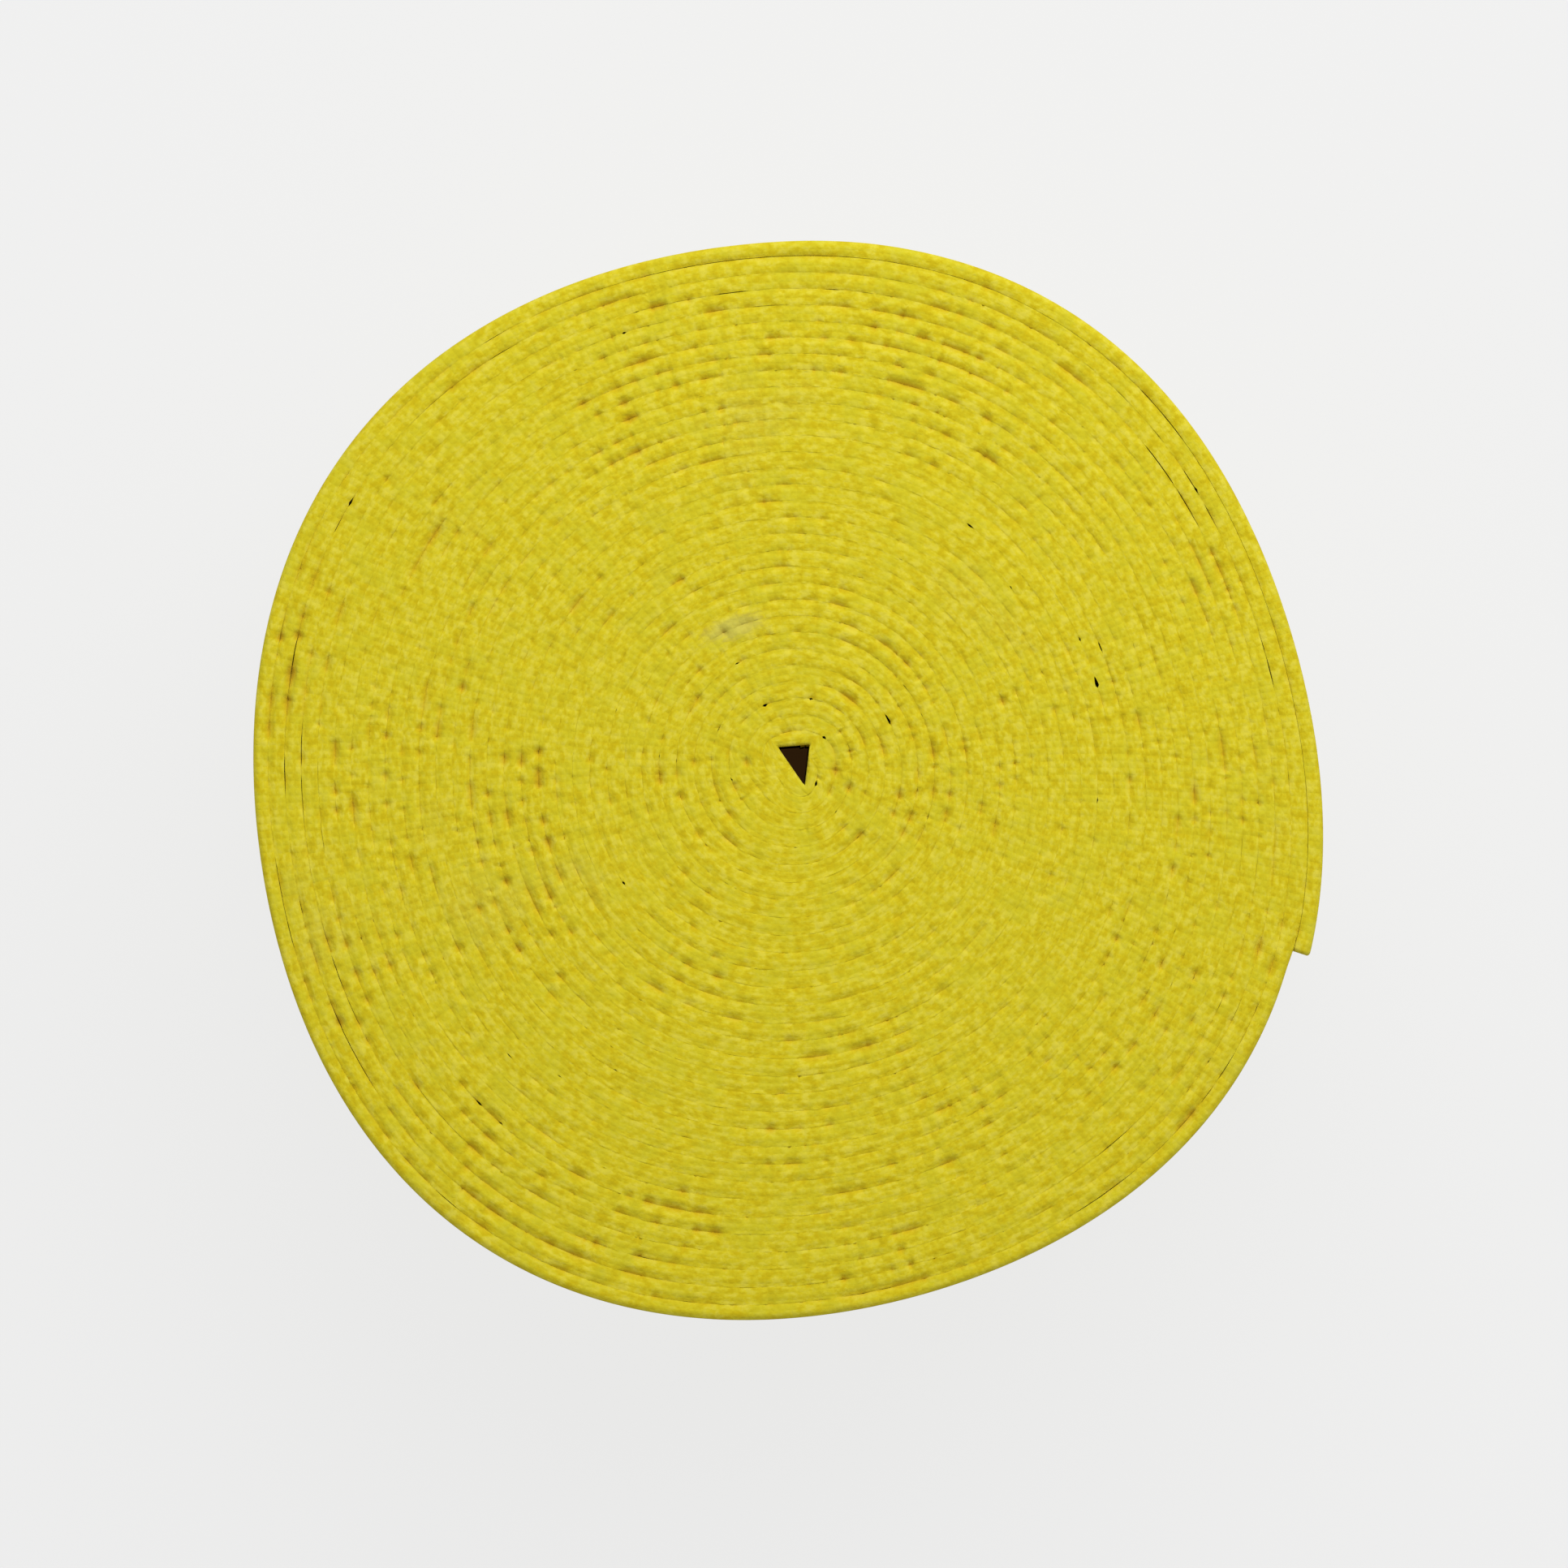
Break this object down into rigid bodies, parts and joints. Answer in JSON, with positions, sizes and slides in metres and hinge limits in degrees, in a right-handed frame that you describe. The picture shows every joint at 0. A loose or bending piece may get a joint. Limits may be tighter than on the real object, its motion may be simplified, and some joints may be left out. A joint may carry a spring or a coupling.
{
  "type": "rolled martial arts belt",
  "caption": "Thin quilted cotton rank belt wound flat into a tight spiral roll lying on its edges, with a free tail that peels away.",
  "frame": {"origin": "middle of the roll's outline, on the plane that its lower edge rests on", "axes": "+Z along the winding axis, across the belt's width; +X and +Y across the roll, with the free end of the belt at the +X side, a little towards -Y"},
  "size_m": [0.0631, 0.0636, 0.04],
  "materials": {
    "belt_cloth": "matte",
    "core_cloth": "matte",
    "sewing_thread": "satin"
  },
  "bodies": {
    "roll": {"roll_cover": "belt_cloth", "roll_core": "core_cloth", "needle_thread_row_1": "sewing_thread", "bobbin_thread_row_1": "sewing_thread", "needle_thread_row_2": "sewing_thread", "bobbin_thread_row_2": "sewing_thread", "needle_thread_row_3": "sewing_thread", "bobbin_thread_row_3": "sewing_thread", "needle_thread_row_4": "sewing_thread", "bobbin_thread_row_4": "sewing_thread", "needle_thread_row_5": "sewing_thread", "bobbin_thread_row_5": "sewing_thread", "needle_thread_row_6": "sewing_thread", "bobbin_thread_row_6": "sewing_thread", "needle_thread_row_7": "sewing_thread", "bobbin_thread_row_7": "sewing_thread", "needle_thread_row_8": "sewing_thread", "bobbin_thread_row_8": "sewing_thread", "inner_end_bar_stitch": "sewing_thread"},
    "tail_1": {"tail_cover_1": "belt_cloth", "tail_core_1": "core_cloth", "tail_needle_threads_1": "sewing_thread", "tail_bobbin_threads_1": "sewing_thread"},
    "tail_2": {"tail_cover_2": "belt_cloth", "tail_core_2": "core_cloth", "tail_needle_threads_2": "sewing_thread", "tail_bobbin_threads_2": "sewing_thread"},
    "tail_3": {"tail_cover_3": "belt_cloth", "tail_core_3": "core_cloth", "tail_needle_threads_3": "sewing_thread", "tail_bobbin_threads_3": "sewing_thread"},
    "tail_4": {"tail_cover_4": "belt_cloth", "tail_core_4": "core_cloth", "tail_needle_threads_4": "sewing_thread", "tail_bobbin_threads_4": "sewing_thread"},
    "tail_5": {"tail_cover_5": "belt_cloth", "tail_core_5": "core_cloth", "tail_needle_threads_5": "sewing_thread", "tail_bobbin_threads_5": "sewing_thread"},
    "tail_6": {"tail_cover_6": "belt_cloth", "tail_core_6": "core_cloth", "tail_needle_threads_6": "sewing_thread", "tail_bobbin_threads_6": "sewing_thread", "outer_end_bar_stitch": "sewing_thread"}
  },
  "joints": [
    {"name": "tail_bend_1", "type": "hinge", "parent": "roll", "child": "tail_1", "pos_m": [-0.00459, 0.03131, 0.02], "axis": [0, 0, 1], "range_deg": [0, 20]},
    {"name": "tail_bend_2", "type": "hinge", "parent": "tail_1", "child": "tail_2", "pos_m": [0.00614, 0.03143, 0.02], "axis": [0, 0, 1], "range_deg": [0, 20]},
    {"name": "tail_bend_3", "type": "hinge", "parent": "tail_2", "child": "tail_3", "pos_m": [0.01632, 0.02775, 0.02], "axis": [0, 0, 1], "range_deg": [0, 20]},
    {"name": "tail_bend_4", "type": "hinge", "parent": "tail_3", "child": "tail_4", "pos_m": [0.02413, 0.02035, 0.02], "axis": [0, 0, 1], "range_deg": [0, 20]},
    {"name": "tail_bend_5", "type": "hinge", "parent": "tail_4", "child": "tail_5", "pos_m": [0.02888, 0.01096, 0.02], "axis": [0, 0, 1], "range_deg": [0, 20]},
    {"name": "tail_bend_6", "type": "hinge", "parent": "tail_5", "child": "tail_6", "pos_m": [0.03127, 0.00068, 0.02], "axis": [0, 0, 1], "range_deg": [0, 20]}
  ],
  "couplings": [
    {"joint": "tail_bend_2", "follows": "tail_bend_1", "ratio": 1},
    {"joint": "tail_bend_3", "follows": "tail_bend_1", "ratio": 1},
    {"joint": "tail_bend_4", "follows": "tail_bend_1", "ratio": 1},
    {"joint": "tail_bend_5", "follows": "tail_bend_1", "ratio": 1},
    {"joint": "tail_bend_6", "follows": "tail_bend_1", "ratio": 1}
  ]
}
